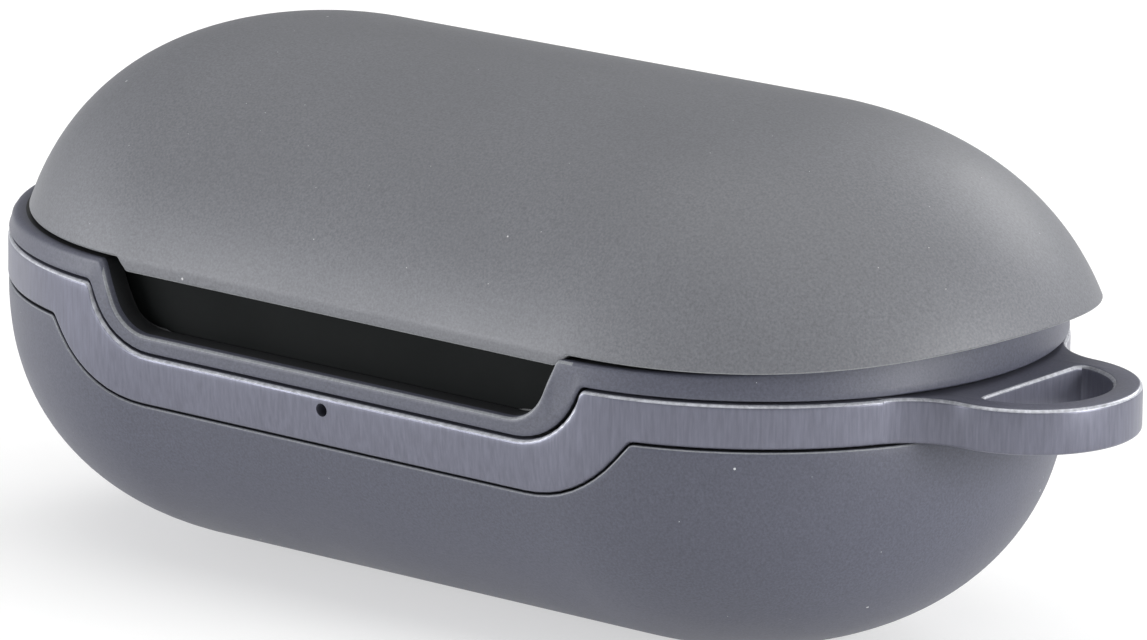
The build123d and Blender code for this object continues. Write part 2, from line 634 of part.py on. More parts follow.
def light_pipe():
    """Brings the light from the board's front edge to the hole in the band."""
    reach = CHANNEL_RADIUS - CASE_GAP
    side = LIGHT_HOLE_RADIUS * 2
    low = (LIGHT_X - side, -BOARD_RADIUS, BOARD_TOP_Z + side)
    bottom = block(low, (LIGHT_X + side, -BOARD_RADIUS + 2 * side, LIGHT_Z + side))
    return bottom + light_rod(side, BOARD_RADIUS - side, reach - FIT)


def status_light():
    """The light-emitting chip on the board, under the light pipe."""
    side = LIGHT_HOLE_RADIUS * 2
    low = (LIGHT_X - side, -BOARD_RADIUS, BOARD_TOP_Z)
    return block(low, (LIGHT_X + side, -BOARD_RADIUS + 2 * side, BOARD_TOP_Z + side - FIT))


def chips():
    """The two chips on the board, under the wells."""
    length, width, thick = CHIP
    low = (CHIP_X - length / 2, -width / 2, BOARD_TOP_Z)
    return both_sides(block(low, (CHIP_X + length / 2, width / 2, BOARD_TOP_Z + thick)))


def tray_screw(x, y):
    """A small pan-head screw with a crossed recess."""
    head_z = TRAY_TOP_Z - SCREW_HEAD_THICK
    screw = rod(SCREW_RADIUS, TRAY_LOW_Z - SCREW_LENGTH, head_z, x, y)
    screw += rod(SCREW_HEAD_RADIUS, head_z, TRAY_TOP_Z - FIT, x, y)
    slot = Box(1.4, 0.3, SCREW_SLOT) + Box(0.3, 1.4, SCREW_SLOT)
    return screw - Pos(x, y, TRAY_TOP_Z - FIT) * slot


# ---------------------------------------------------------------- the earbuds
def nozzle_place():
    """Where the +X earbud's nozzle starts, pointing down and towards the case's end."""
    return Pos(WELL_X + NOZZLE_SHIFT, 0, BUD_LOW_Z + NOZZLE_ROOT) * Rot(0, 180 - NOZZLE_ANGLE, 0)


def bud_shell():
    """The +X earbud's body with its nozzle."""
    low = [(a, BUD_WAIST_Z - b) for a, b in oval(BUD_RADIUS, BUD_LOW, BUD_POWER)]
    high = [(a, BUD_WAIST_Z + b) for a, b in oval(BUD_RADIUS, BUD_HIGH, BUD_POWER)]
    edges = [
        Spline(*low, tangents=[(0, -1), (-1, 0)]),
        Line(low[-1], high[-1]),
        Spline(*high, tangents=[(0, 1), (-1, 0)]),
    ]
    body = Pos(WELL_X, 0, 0) * revolve(profile_face(edges), Axis.Z, 360)
    nozzle = nozzle_place() * Pos(0, 0, NOZZLE_LENGTH / 2) * Cylinder(NOZZLE_RADIUS, NOZZLE_LENGTH)
    mouth = nozzle_place() * Pos(0, 0, NOZZLE_LENGTH)
    mouth *= Cylinder(NOZZLE_RADIUS - NOZZLE_WALL, 2 * MESH_DEPTH)
    body = body + nozzle - mouth
    body -= at_pins(PAD_RADIUS, PAD_Z - 1, PAD_Z + PAD_THICK)
    cap_z = BUD_WAIST_Z + BUD_HIGH - CAP_THICK
    return body - rod(CAP_RADIUS + FIT, cap_z, FAR, WELL_X)


def touch_cap():
    """The +X earbud's touch plate."""
    top_z = BUD_WAIST_Z + BUD_HIGH
    cap = rod(CAP_RADIUS, top_z - CAP_THICK, top_z, WELL_X)
    return fillet(cap.edges().filter_by(GeomType.CIRCLE).group_by(Axis.Z)[-1], CAP_THICK / 2)


def ear_tip():
    """The +X earbud's soft tip: a dome with a turned-back skirt round the nozzle."""
    top = TIP_START + TIP_HEIGHT
    crown_z = top - TIP_CROWN
    collar_z = TIP_START + TIP_COLLAR
    collar = NOZZLE_RADIUS + TIP_WALL
    shoulder = 0.87 * TIP_RADIUS
    skirt = TIP_RADIUS - TIP_WALL
    inner = [(skirt, TIP_START), (shoulder - TIP_WALL, TIP_START + TIP_HEIGHT / 2), (collar, crown_z)]
    outer = [(collar, top), (shoulder, TIP_START + 0.6 * TIP_HEIGHT), (TIP_RADIUS, TIP_START)]
    edges = [
        Spline(*outer, tangents=[(1, -0.15), (0, -1)]),
        Line(outer[-1], inner[0]),
        Spline(*inner, tangents=[(0, 1), (-1, 0.3)]),
        Line(inner[-1], (collar, collar_z)),
        Line((collar, collar_z), (NOZZLE_RADIUS, collar_z)),
        Line((NOZZLE_RADIUS, collar_z), (NOZZLE_RADIUS, top)),
        Line((NOZZLE_RADIUS, top), outer[0]),
    ]
    return nozzle_place() * revolve(profile_face(edges), Axis.Z, 360)


def nozzle_mesh():
    """The screen in the +X earbud's nozzle."""
    place = nozzle_place() * Pos(0, 0, NOZZLE_LENGTH - MESH_DEPTH + MESH_THICK / 2)
    return place * Cylinder(NOZZLE_RADIUS - NOZZLE_WALL, MESH_THICK)


# ---------------------------------------------------------------- the nodes
parts["base_sleeve"] = base_sleeve()
parts["carry_band"] = carry_band()
parts["lid_cover"] = lid_cover()
parts["case_shell"] = case_shell()
parts["lid_shell"] = lid_shell()
parts["lid_liner"] = lid_liner()
parts["cradle"] = cradle()
parts["hinge_pin"] = crosswise_rod(
    HINGE_PIN_RADIUS, -KNUCKLE_OUT[1], KNUCKLE_OUT[1], HINGE_Y, HINGE_Z
)
parts["tray_screws"] = Compound([tray_screw(x * SCREW_X, y * SCREW_Y) for x, y in CORNERS])
parts["catch_magnets"] = both_sides(
    rod(CATCH_RADIUS, TRAY_LOW_Z - CATCH_THICK, TRAY_LOW_Z, CATCH_X, CATCH_Y)
)
parts["lid_magnets"] = both_sides(
    rod(CATCH_RADIUS, LINER_TOP_Z, LINER_TOP_Z + CATCH_THICK, CATCH_X, CATCH_Y)
)
parts["lid_bumpers"] = both_sides(
    rod(BUMPER_RADIUS, TRAY_TOP_Z, LINER_Z - PIN_FIT, BUMPER_X, BUMPER_Y)
)
parts["circuit_board"] = pill_plate(BOARD_RADIUS, BOARD_HALF, BOARD_Z, BOARD_TOP_Z)
parts["board_chips"] = chips()
parts["status_light"] = status_light()
parts["light_pipe"] = light_pipe()
parts["charging_socket"] = charging_socket()
parts["socket_tongue"] = socket_tongue()
parts["battery"] = battery()
parts["charging_coil"] = rod(COIL_RADIUS, COIL_Z, COIL_Z + COIL_THICK) - rod(COIL_HOLE, 0, FAR)
parts["coil_shield"] = rod(COIL_RADIUS + SHIELD_MARGIN, SHIELD_Z, SHIELD_Z + SHIELD_THICK)
parts["pin_blocks"] = both_sides(pin_block_body() - at_pins(PIN_RADIUS + PIN_FIT, 0, FAR))

bud_pieces = {
    "charging_pins": charging_pins(),
    "bud_shell": bud_shell(),
    "touch_cap": touch_cap(),
    "ear_tip": ear_tip(),
    "nozzle_mesh": nozzle_mesh(),
    "bud_contacts": at_pins(PAD_RADIUS, PAD_Z, PAD_Z + PAD_THICK),
}
for name, shape in bud_pieces.items():
    parts[f"right_{name}"] = shape
    parts[f"left_{name}"] = mirror(shape, Plane.YZ)

os.makedirs("parts", exist_ok=True)
for name, shape in parts.items():
    export_step(shape, f"parts/{name}.step")
    print(name, len(shape.solids()), round(shape.volume, 1), shape.is_valid)
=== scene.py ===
"""Looks for a pill-shaped earbuds case in a protective cover with a carry loop.

Metres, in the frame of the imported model: X runs along the case towards the loop, -Y is the
side with the finger notch, Z is up and the case stands on Z = 0.
"""

import math

import bmesh
import bpy
from mathutils import Matrix, Vector


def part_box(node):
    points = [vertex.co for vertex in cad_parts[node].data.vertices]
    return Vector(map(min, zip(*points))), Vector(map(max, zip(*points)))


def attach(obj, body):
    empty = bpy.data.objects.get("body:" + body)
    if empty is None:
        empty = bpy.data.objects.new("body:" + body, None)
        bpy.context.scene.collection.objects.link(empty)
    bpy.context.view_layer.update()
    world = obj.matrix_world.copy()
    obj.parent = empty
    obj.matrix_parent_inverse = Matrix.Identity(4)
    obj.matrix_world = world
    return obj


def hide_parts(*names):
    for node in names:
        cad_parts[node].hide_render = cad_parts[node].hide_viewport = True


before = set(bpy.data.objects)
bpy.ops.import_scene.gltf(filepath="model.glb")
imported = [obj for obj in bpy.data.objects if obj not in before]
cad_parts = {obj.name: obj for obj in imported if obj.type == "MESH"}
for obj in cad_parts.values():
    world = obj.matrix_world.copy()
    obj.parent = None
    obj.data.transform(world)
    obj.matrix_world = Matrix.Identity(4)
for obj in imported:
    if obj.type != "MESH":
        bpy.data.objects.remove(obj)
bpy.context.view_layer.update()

MM = 0.001

# ---------------------------------------------------------------- sizes, in mm
BODY_RADIUS = 19.4  # half the band's width
BODY_HALF = 17.1  # from the middle to the centre of an end
WAIST = 16.0  # where the bowl meets the band at the sides
BOWL_DEPTH = 16.25
BOWL_POWER = 2.23
BOWL_STEP = 0.05
BAND_TOP = 19.1
BAND_THICK = 1.2
BAND_EDGE = 0.3  # rounding of the band's edges
CHANNEL = 1.26  # depth of the sleeve's channel, from the outside
GAP_TOP = 0.19  # groove between the rim and the band
GAP_BOTTOM = 0.14  # groove between the band and the bowl
RIM_TOP = 20.45
RIM_STEP = 0.06
RIM_LEAN = 0.14
RIM_EDGE = 0.28
EDGE = 0.14  # rounding of the sleeve's edges at the grooves
RIM_SHOULDER = 0.8  # extra rounding of the rim at the end away from the loop
PARTING_RISE = 1.6  # how far the lid's edge and the rim rise towards the loop
CASE_RADIUS = 17.4  # the sleeve's inside
CASE_HALF = 16.0
SLEEVE_FLOOR = 1.6
SLEEVE_CUT = 23.0  # half width of the hinge cut in the rim
LIGHT_X = -0.65  # the light hole
LIGHT_Z = 14.15
LIGHT_RADIUS = 0.42
PORT_Z = 12.2
PLUG_WIDTH = 12.6
PLUG_HEIGHT = 6.6

LOOP_X = 38.1
LOOP_RADIUS = 6.8
LOOP_HOLE = 5.0
LOOP_FLAT = 38.3  # the flat side of the D-shaped hole
LOOP_FILLET = 4.5
LOOP_LOW = 16.13
LOOP_HIGH = 18.96

LID_Z = 20.73
LID_RADIUS = 18.9
LID_HEIGHT = 11.63
LID_POWER = 2.364
LID_CUT = 8.0
LID_WALL = 1.3
LID_NOSE = 1.208
LID_NOSE_INSIDE = 1.08
LID_HEEL = 0.936
LID_SLOPE = math.radians(0.63)
LID_EDGE = 0.14
TAB_SHIFT = 0.15
TAB_HALF = 16.9
TAB_DROP = 0.79
TAB_SLOPE = 0.8
HINGE_CUT = 15.0
HINGE_CUT_RISE = 2.1
NOZZLE_LEAN = 18.0  # degrees from straight down

# ---------------------------------------------------------------- painted rows of the skins
BOWL_EDGE_ROWS = (37, 38)  # the bowl's upper edge, painted bright: partly wear, partly a painted highlight
CHANNEL_ROWS = (40, 41, 42)  # the walls of the band's channel, painted dark: painted shade in the groove
NOTCH_EDGE_ROWS = (54, 55)  # the rim's upper edge along the notch, painted bright: partly wear, partly a painted highlight
NOTCH_WORN_AND_HIGHLIGHT_HALF = 18.5  # how far that painted wear and highlight reaches to each side
# rows after this one, on the sleeve's inside, get painted shade
SLEEVE_LAST_OUTER_ROW = 57
# the band's upper edge, painted bright: partly wear, partly a painted highlight
BAND_TOP_EDGE_ROWS = (16, 17)
# the lid's lower edge, painted bright: partly wear, partly a painted highlight
LID_LOW_EDGE_ROWS = (23, 24)

# ---------------------------------------------------------------- light and floor
LAMP_DISTANCE = 0.9  # metres
FLOOR_SIZE = 6  # metres
FLOOR_GLOW = 0.52
SURROUND_GLOW = 0.29
WHITE = (1.0, 1.0, 1.0)
LAMPS = (  # name, azimuth, elevation, width and height, power, colour
    ("left_lamp", -46, 8, (0.5, 0.3), 6.0, (0.96, 0.97, 1.0)),
    ("left_side_lamp", -80, 15, (0.5, 0.4), 0.9, WHITE),
    ("right_lamp", 96, 15, (0.45, 0.4), 7.6, WHITE),
    ("right_back_lamp", 125, 20, (0.5, 0.4), 0.9, WHITE),
    ("top_lamp", 0, 88, (1.3, 1.1), 5.6, (1.0, 1.0, 0.97)),
    ("back_lamp", 180, 30, (0.5, 0.4), 2.7, WHITE),
)


# ---------------------------------------------------------------- small helpers
def smoothed(obj, angle=35):
    """Smooth shading that keeps edges sharper than the angle."""
    for polygon in obj.data.polygons:
        polygon.use_smooth = True
    obj.data.set_sharp_from_angle(angle=math.radians(angle))
    return obj


def new_object(name, bm):
    """Makes an object of a bmesh that is in millimetres."""
    bmesh.ops.scale(bm, vec=(MM, MM, MM), verts=bm.verts)
    mesh = bpy.data.meshes.new(name)
    bm.to_mesh(mesh)
    bm.free()
    obj = bpy.data.objects.new(name, mesh)
    bpy.context.collection.objects.link(obj)
    return obj


def baked(obj):
    """Turns an object's live modifiers into a plain mesh."""
    graph = bpy.context.evaluated_depsgraph_get()
    mesh = bpy.data.meshes.new_from_object(obj.evaluated_get(graph))
    obj.modifiers.clear()
    obj.data = mesh
    return obj


def cut(obj, *cutters):
    """Takes closed cutter shapes out of a closed shape."""
    for cutter in cutters:
        modifier = obj.modifiers.new("cut", "BOOLEAN")
        modifier.operation = "DIFFERENCE"
        modifier.solver = "EXACT"
        modifier.object = cutter
    baked(obj)
    for cutter in cutters:
        bpy.data.objects.remove(cutter)
    return obj


def bar(name, outline, low_y, high_y):
    """A closed prism of an outline in X and Z, running along Y."""
    bm = bmesh.new()
    near = [bm.verts.new((x, low_y, z)) for x, z in outline]
    far = [bm.verts.new((x, high_y, z)) for x, z in outline]
    bm.faces.new(near)
    bm.faces.new(far)
    for i in range(len(outline)):
        k = (i + 1) % len(outline)
        bm.faces.new((near[i], near[k], far[k], far[i]))
    bmesh.ops.recalc_face_normals(bm, faces=bm.faces)
    return new_object(name, bm)


def round_outline(x, z, width, height, steps=16):
    """A slot with round ends, as points in X and Z. A circle when width equals height."""
    radius = height / 2
    points = []
    for side in (1, -1):
        for i in range(steps):
            angle = math.pi * ((i + 0.5) / steps - 0.5)
            centre = x + side * (width / 2 - radius)
            points.append((centre + side * radius * math.cos(angle),
                           z + side * radius * math.sin(angle)))
    return points


def radius_at(drop, radius=BODY_RADIUS - BOWL_STEP, depth=BOWL_DEPTH):
    """Radius of a bowl's wall at a height that is that far below the waist."""
    if drop <= 0:
        return radius
    return radius * max(1 - (drop / depth) ** BOWL_POWER, 0.0) ** (1 / BOWL_POWER)


def bowl_inset(z):
    """How far the bowl's outside stands in from the band's widest line, at a height."""
    return BODY_RADIUS - radius_at(WAIST - z)


def rounded_profile(corners, steps=8):
    """Points along straight runs between corners (x, z, radius), each corner rounded."""
    points = []
    last = len(corners) - 1
    for i, (x, z, radius) in enumerate(corners):
        if i in (0, last):
            points.append((x, z))
            continue
        here = Vector((x, z))
        back = (Vector(corners[i - 1][:2]) - here).normalized()
        ahead = (Vector(corners[i + 1][:2]) - here).normalized()
        half = back.angle(ahead) / 2
        centre = here + (back + ahead).normalized() * radius / math.sin(half)
        start = here + back * radius / math.tan(half) - centre
        end = here + ahead * radius / math.tan(half) - centre
        for k in range(steps + 1):
            points.append(tuple(centre + radius * start.slerp(end, k / steps).normalized()))
    return points


def height_line(half, side_z, front_z, angle, low_radius, top_radius=0.5, shift=0.0):
    """A line that is level at side_z and dips at the front to front_z, as (x, z) points."""
    run = (side_z - front_z) / math.tan(math.radians(angle))
    far = 80
    return rounded_profile([
        (-far, side_z, 0), (shift - half, side_z, top_radius),
        (shift - half + run, front_z, low_radius), (shift + half - run, front_z, low_radius),
        (shift + half, side_z, top_radius), (far, side_z, 0),
    ])


def read_line(line, x):
    """The height of a line at x."""
    for (x0, z0), (x1, z1) in zip(line, line[1:]):
        if x0 <= x <= x1:
            return z0 + (z1 - z0) * (x - x0) / max(x1 - x0, 1e-9)
    return line[-1][1]


def stretch_of(line, x):
    """How much longer an upright cut across a line is than a square one, at x."""
    step = 0.06
    rise = (read_line(line, x + step) - read_line(line, x - step)) / (2 * step)
    return math.sqrt(1 + rise * rise)


def on_pill(station, inset=0.0, radius=BODY_RADIUS, half=BODY_HALF, nose=1.0, heel=1.0):
    """The plan point at a station, moved inwards. A station is (part, value) on the outline."""
    part, value = station
    reach = radius - inset
    if part in ("front", "back"):
        return value * half / BODY_HALF, -reach if part == "front" else reach
    side = 1 if part == "right" else -1
    stretch = nose if side == 1 else heel
    return side * (half + stretch * reach * math.sin(value)), -reach * math.cos(value)


def stations():
    """Stations once round the pill, close together where the seams turn or end."""
    fine, coarse = 0.16, 0.9
    xs = [-BODY_HALF]
    while xs[-1] < BODY_HALF - fine:
        xs.append(xs[-1] + (fine if abs(xs[-1] + fine / 2) > 12.0 else coarse))
    xs[-1] = BODY_HALF
    angles = [0.0]
    while angles[-1] < math.pi:
        x = BODY_HALF + BODY_RADIUS * math.sin(angles[-1])
        near = x < 24.0 and angles[-1] < math.pi / 2
        angles.append(angles[-1] + (fine if near else coarse) / BODY_RADIUS)
    angles = [a for a in angles if a < math.pi - 0.02]
    step_angle = math.pi - math.asin((SLEEVE_CUT - BODY_HALF) / BODY_RADIUS)
    angles = sorted(angles + [step_angle - 0.0006, step_angle + 0.0006])
    backs = sorted([x for x in xs if abs(abs(x) - HINGE_CUT) > 0.1]
                   + [side * HINGE_CUT + d for side in (-1, 1) for d in (-0.01, 0.01)])
    found = [("front", x) for x in xs]
    found += [("right", a) for a in angles[1:]]
    found += [("back", x) for x in reversed(backs)]
    found += [("left", a) for a in reversed(angles[1:])]
    return found


def in_cut(station, half):
    """True where the back of the pill is cut away for the hinge."""
    x, y = on_pill(station)
    return y > 0 and abs(x) < half


def skin(name, columns, paints, coat, closed=False):
    """A closed skin over columns of points that go once round the pill.

    The columns' first and last points are capped, or joined to each other if closed. A face
    gets the paint whose number coat(column, row) gives.
    """
    bm = bmesh.new()
    rows = [[bm.verts.new(point) for point in column] for column in columns]
    for i, column in enumerate(rows):
        following = rows[(i + 1) % len(rows)]
        for k in range(len(column) - (0 if closed else 1)):
            m = (k + 1) % len(column)
            face = bm.faces.new((column[k], following[k], following[m], column[m]))
            face.material_index = coat(i, k)
    if not closed:
        bm.faces.new([column[0] for column in rows])
        bm.faces.new([column[-1] for column in rows])
    bmesh.ops.remove_doubles(bm, verts=bm.verts, dist=2e-4)
    bmesh.ops.dissolve_degenerate(bm, dist=1e-5, edges=bm.edges)
    bmesh.ops.recalc_face_normals(bm, faces=bm.faces)
    obj = new_object(name, bm)
    for paint in paints:
        obj.data.materials.append(paint)
    return obj


def corner(centre, start, end, steps=4):
    """Points of an elliptic quarter round a centre, from start to end."""
    points = []
    for i in range(steps + 1):
        turn = i / steps * math.pi / 2
        points.append(tuple(
            c + (s - c) * math.cos(turn) + (e - c) * math.sin(turn)
            for c, s, e in zip(centre, start, end)
        ))
    return points


# ---------------------------------------------------------------- seam lines
BAND_TOP_LINE = height_line(half=19.3, side_z=BAND_TOP, front_z=15.25, angle=65,
                            low_radius=5.0, shift=-0.1)
BAND_LOW_LINE = height_line(half=22.8, side_z=WAIST, front_z=11.7, angle=50,
                            low_radius=9.0, shift=-0.27)
NOTCH_LINE = height_line(half=17.95, side_z=RIM_TOP, front_z=16.3, angle=66,
                         low_radius=3.0, top_radius=0.4, shift=-0.6)
TAB_LINE = height_line(half=TAB_HALF + TAB_SLOPE, side_z=LID_Z, front_z=LID_Z - TAB_DROP,
                       angle=44.6, low_radius=0.25, top_radius=0.25, shift=TAB_SHIFT)


def parting_rise(station):
    """How much higher the gap between rim and lid lies at a station, round the loop's end."""
    part, value = station
    return PARTING_RISE * math.sin(value) ** 3.2 if part == "right" else 0.0


def seam(line, station):
    """The height of a seam at a station, and the stretch there. Seams are level at the back."""
    x, y = on_pill(station)
    if y > 0:
        return line[0][1], 1.0
    return read_line(line, x), stretch_of(line, x)


# ---------------------------------------------------------------- camera, light and floor
def look_from(azimuth, elevation, roll, distance, shift_right, shift_up, lens, lift):
    """The camera, aimed at a point beside the middle of the waist."""
    a, e, r = (math.radians(angle) for angle in (azimuth, elevation, roll))
    back = Vector((math.sin(a) * math.cos(e), -math.cos(a) * math.cos(e), math.sin(e)))
    right = Vector((math.cos(a), math.sin(a), 0))
    up = back.cross(right)
    right, up = (
        math.cos(r) * right + math.sin(r) * up,
        -math.sin(r) * right + math.cos(r) * up,
    )
    data = bpy.data.cameras.new("camera")
    data.lens = lens
    data.sensor_width = 36
    data.clip_start, data.clip_end = 0.01, 20
    camera = bpy.data.objects.new("camera", data)
    bpy.context.collection.objects.link(camera)
    place = (right * shift_right + up * shift_up + back * distance + Vector((0, 0, lift))) * MM
    turn = Matrix((right, up, back)).transposed().to_4x4()
    camera.matrix_world = Matrix.Translation(place) @ turn
    bpy.context.scene.camera = camera


def soft_light(name, azimuth, elevation, size, power, colour):
    """A large soft lamp aimed at the case, its place given as angles from the notch's side."""
    a, e = math.radians(azimuth), math.radians(elevation)
    away = Vector((math.sin(a) * math.cos(e), -math.cos(a) * math.cos(e), math.sin(e)))
    data = bpy.data.lights.new(name, "AREA")
    data.shape = "RECTANGLE"
    data.size, data.size_y = size
    data.energy = power
    data.color = colour
    lamp = bpy.data.objects.new(name, data)
    bpy.context.collection.objects.link(lamp)
    lamp.location = away * LAMP_DISTANCE + Vector((0, 0, WAIST * MM))
    lamp.rotation_euler = away.to_track_quat("Z", "Y").to_euler()


def studio():
    """A pale floor, an even pale surround and large soft lamps."""
    bpy.ops.mesh.primitive_plane_add(size=FLOOR_SIZE)
    floor = bpy.context.object
    floor.name = "floor"
    paper = plain("floor_paper", (0.5, 0.5, 0.5), 0.8)
    shader = paper.node_tree.nodes["Principled BSDF"]
    shader.inputs["Emission Color"].default_value = (*WHITE, 1)
    shader.inputs["Emission Strength"].default_value = FLOOR_GLOW
    floor.data.materials.append(paper)
    world = bpy.data.worlds.new("surround")
    bpy.context.scene.world = world
    world.use_nodes = True
    background = world.node_tree.nodes["Background"]
    background.inputs["Color"].default_value = (*WHITE, 1)
    background.inputs["Strength"].default_value = SURROUND_GLOW
    for lamp in LAMPS:
        soft_light(*lamp)
    bpy.context.scene.view_settings.view_transform = "Standard"


# ---------------------------------------------------------------- materials
def plain(name, colour, roughness, metallic=0.0):
    """A material of one shader, as a start for the others."""
    material = bpy.data.materials.new(name)
    material.use_nodes = True
    shader = material.node_tree.nodes["Principled BSDF"]
    shader.inputs["Base Color"].default_value = (*colour, 1)
    shader.inputs["Roughness"].default_value = roughness
    shader.inputs["Metallic"].default_value = metallic
    return material


class Graph:
    """Adds linked nodes to a material, reading object coordinates."""

    def __init__(self, material):
        self.tree = material.node_tree
        self.nodes = self.tree.nodes
        self.shader = self.nodes["Principled BSDF"]
        self.coords = self.nodes.new("ShaderNodeTexCoord")

    def link(self, source, socket):
        self.tree.links.new(source, socket)

    def feed(self, socket, value):
        if isinstance(value, tuple):
            socket.default_value = (*value, 1)
        elif isinstance(value, (int, float)):
            socket.default_value = value
        else:
            self.link(value, socket)

    def mapped(self, stretch):
        node = self.nodes.new("ShaderNodeMapping")
        node.inputs["Scale"].default_value = stretch
        self.link(self.coords.outputs["Object"], node.inputs["Vector"])
        return node.outputs["Vector"]

    def noise(self, scale, detail=3.0, roughness=0.5, stretch=(1, 1, 1)):
        node = self.nodes.new("ShaderNodeTexNoise")
        node.inputs["Scale"].default_value = scale
        node.inputs["Detail"].default_value = detail
        node.inputs["Roughness"].default_value = roughness
        self.link(self.mapped(stretch), node.inputs["Vector"])
        return node.outputs["Fac"]

    def spots(self, scale, size, share):
        """1 in a few small round spots and 0 elsewhere."""
        cells = self.nodes.new("ShaderNodeTexVoronoi")
        cells.inputs["Scale"].default_value = scale
        self.link(self.mapped((1, 1, 1)), cells.inputs["Vector"])
        near = self.math("LESS_THAN", cells.outputs["Distance"], size)
        split = self.nodes.new("ShaderNodeSeparateColor")
        self.link(cells.outputs["Color"], split.inputs["Color"])
        chosen = self.math("LESS_THAN", split.outputs["Red"], share)
        return self.math("MULTIPLY", near, chosen)

    def math(self, operation, first, second):
        node = self.nodes.new("ShaderNodeMath")
        node.operation = operation
        self.feed(node.inputs[0], first)
        self.feed(node.inputs[1], second)
        return node.outputs["Value"]

    def ramp(self, source, stops):
        node = self.nodes.new("ShaderNodeValToRGB")
        elements = node.color_ramp.elements
        while len(elements) < len(stops):
            elements.new(0.5)
        for element, (place, colour) in zip(elements, stops):
            element.position = place
            element.color = (*colour, 1)
        self.link(source, node.inputs["Fac"])
        return node.outputs["Color"]

    def mix(self, factor, first, second):
        node = self.nodes.new("ShaderNodeMix")
        node.data_type = "RGBA"
        sockets = {socket.identifier: socket for socket in node.inputs}
        self.feed(sockets["Factor_Float"], factor)
        self.feed(sockets["A_Color"], first)
        self.feed(sockets["B_Color"], second)
        return next(s for s in node.outputs if s.identifier == "Result_Color")

    def span(self, source, low, high):
        node = self.nodes.new("ShaderNodeMapRange")
        node.inputs["From Min"].default_value = 0.3
        node.inputs["From Max"].default_value = 0.7
        node.inputs["To Min"].default_value = low
        node.inputs["To Max"].default_value = high
        self.link(source, node.inputs["Value"])
        return node.outputs["Result"]

    def bump(self, height, distance, strength=1.0):
        node = self.nodes.new("ShaderNodeBump")
        node.inputs["Strength"].default_value = strength
        node.inputs["Distance"].default_value = distance
        self.link(height, node.inputs["Height"])
        self.link(node.outputs["Normal"], self.shader.inputs["Normal"])


def shade(colour, factor):
    """A colour made darker or lighter."""
    return tuple(min(channel * factor, 1.0) for channel in colour)


def soft_touch(name, colour, roughness=0.55, dust=0.0):
    """Matt rubbery paint: fine grain, faint cloudy wear and a little dust."""
    material = plain(name, colour, roughness)
    g = Graph(material)
    grain = g.noise(6500, 2.0, 0.65)
    cloud = g.noise(85, 4.0, 0.6)
    tone = g.ramp(cloud, [(0.3, shade(colour, 0.95)), (0.7, shade(colour, 1.05))])
    tone = g.mix(g.span(grain, 0.0, 1.0), shade(colour, 0.68), tone)
    if dust:
        specks = g.math("MAXIMUM", g.spots(300, 0.024, dust), g.spots(760, 0.022, dust))
        tone = g.mix(g.math("MULTIPLY", specks, 0.8), tone, (0.62, 0.62, 0.62))
    g.link(tone, g.shader.inputs["Base Color"])
    g.link(g.span(cloud, roughness - 0.05, roughness + 0.05), g.shader.inputs["Roughness"])
    g.bump(grain, 0.000012, 0.9)
    return material


def finish(name, colour, roughness, metallic=0.0, scale=900, stretch=(1, 1, 1), depth=0.15,
           tone=0.08, spread=0.06, **own):
    """A moulded, brushed or plated finish: marks in colour, gloss and relief.

    own gives values for the shader's other sockets.
    """
    material = plain(name, colour, roughness, metallic)
    g = Graph(material)
    marks = g.noise(scale, 3.0, 0.6, stretch)
    cloud = g.noise(140, 3.0, 0.5)
    colours = g.ramp(marks, [(0.3, shade(colour, 1 - tone)), (0.7, shade(colour, 1 + tone))])
    g.link(colours, g.shader.inputs["Base Color"])
    g.link(g.span(cloud, roughness - spread, roughness + spread), g.shader.inputs["Roughness"])
    g.bump(marks, 0.00001, depth)
    for socket, value in own.items():
        g.shader.inputs[socket.replace("_", " ")].default_value = value
    return material


def solder_mask(name):
    """Green board lacquer with paler traces."""
    material = plain(name, (0.01, 0.09, 0.045), 0.3)
    g = Graph(material)
    cells = g.nodes.new("ShaderNodeTexVoronoi")
    cells.distance = "CHEBYCHEV"
    cells.feature = "F1"
    cells.inputs["Scale"].default_value = 420
    g.link(g.mapped((1, 1, 0.01)), cells.inputs["Vector"])
    trace = g.math("GREATER_THAN", cells.outputs["Distance"], 0.42)
    g.link(g.mix(trace, (0.01, 0.09, 0.045), (0.02, 0.16, 0.075)), g.shader.inputs["Base Color"])
    g.bump(trace, 0.00002, 0.4)
    return material


